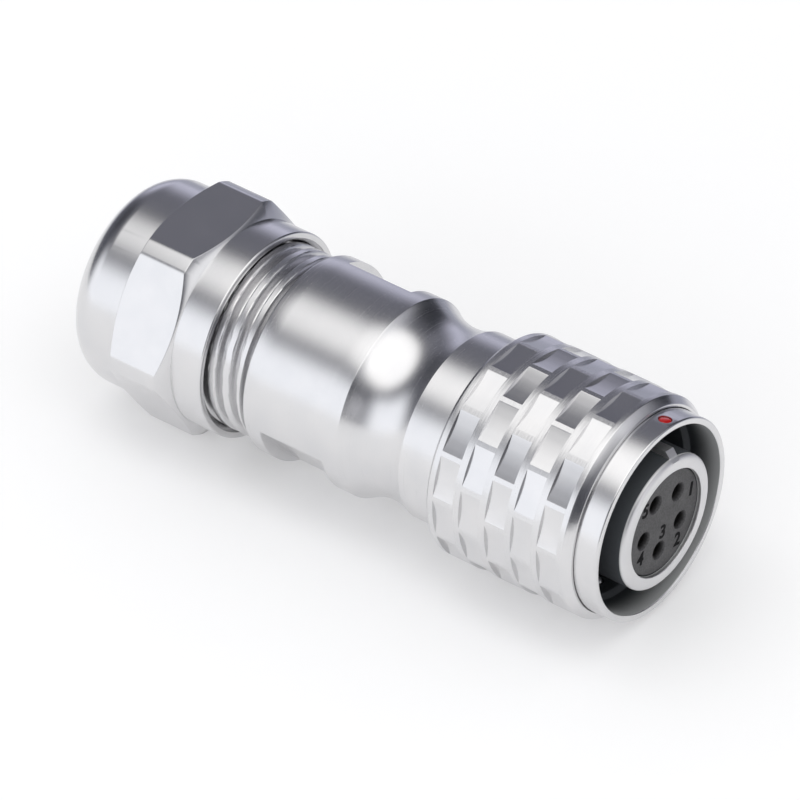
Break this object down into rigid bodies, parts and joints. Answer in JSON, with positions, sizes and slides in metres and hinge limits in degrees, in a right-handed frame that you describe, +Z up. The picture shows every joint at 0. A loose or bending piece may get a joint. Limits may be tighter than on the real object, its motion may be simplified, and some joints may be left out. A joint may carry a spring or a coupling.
{
  "type": "circular sensor connector",
  "caption": "Satin nickel circular cable plug with a push-pull grip sleeve, numbered socket contacts and a hexagon cable gland.",
  "frame": {"origin": "centre of the socket's opening, on the axis of the plug", "axes": "+X along the axis, out of the mating end; +Z up as the plug lies on one flat of its hexagon; +Y completes the frame"},
  "size_m": [0.0529, 0.0202, 0.0188],
  "materials": {
    "satin_nickel": "satin nickel plate on brass",
    "grey_insulator": "matt moulded",
    "gold_plate": "gold plate",
    "black_rubber": "matt",
    "red_enamel": "glossy enamel",
    "spring_steel": "drawn wire",
    "ball_steel": "polished",
    "black_polyamide": "moulded"
  },
  "bodies": {
    "plug": {"front_shell": "satin_nickel", "neck_body": "satin_nickel", "index_dot": "red_enamel", "contact_shell": "satin_nickel", "front_insulator": "grey_insulator", "rear_insulator": "grey_insulator", "socket_contact_1": "gold_plate", "socket_contact_2": "gold_plate", "socket_contact_3": "gold_plate", "socket_contact_4": "gold_plate", "socket_contact_5": "gold_plate", "insert_nut": "satin_nickel", "interface_seal": "black_rubber", "body_seal": "black_rubber", "back_shell": "satin_nickel", "release_spring": "spring_steel", "cable_seal": "black_rubber"},
    "sleeve": {"release_sleeve": "satin_nickel"},
    "ball_1": {"latch_ball_1": "ball_steel"},
    "ball_2": {"latch_ball_2": "ball_steel"},
    "ball_3": {"latch_ball_3": "ball_steel"},
    "collet": {"clamp_collet": "black_polyamide"},
    "nut": {"gland_nut": "satin_nickel"}
  },
  "joints": [
    {"name": "sleeve_slide", "type": "slide", "parent": "plug", "child": "sleeve", "axis": [-1, 0, 0], "range_m": [0, 0.002], "stiffness_N_per_m": 2000, "springref_m": -0.002, "deforming": ["release_spring"]},
    {"name": "ball_1_lift", "type": "slide", "parent": "plug", "child": "ball_1", "axis": [0, -0.7242, 0.6896], "range_m": [0, 0.00035]},
    {"name": "ball_2_lift", "type": "slide", "parent": "plug", "child": "ball_2", "axis": [0, -0.2351, -0.972], "range_m": [0, 0.00035]},
    {"name": "ball_3_lift", "type": "slide", "parent": "plug", "child": "ball_3", "axis": [0, 0.9593, 0.2823], "range_m": [0, 0.00035]},
    {"name": "gland_feed", "type": "slide", "parent": "plug", "child": "collet", "axis": [1, 0, 0], "range_m": [-0.00283, 0.00213], "deforming": ["cable_seal"]},
    {"name": "gland_nut_turn", "type": "hinge", "parent": "collet", "child": "nut", "pos_m": [-0.0452, 0, 0], "axis": [1, 0, 0], "range_deg": [-720, 540]}
  ],
  "couplings": [
    {"joint": "ball_1_lift", "follows": "sleeve_slide", "ratio": 0.175},
    {"joint": "ball_2_lift", "follows": "sleeve_slide", "ratio": 0.175},
    {"joint": "ball_3_lift", "follows": "sleeve_slide", "ratio": 0.175},
    {"joint": "gland_feed", "follows": "gland_nut_turn", "m_per_rad": 0.00022441}
  ]
}
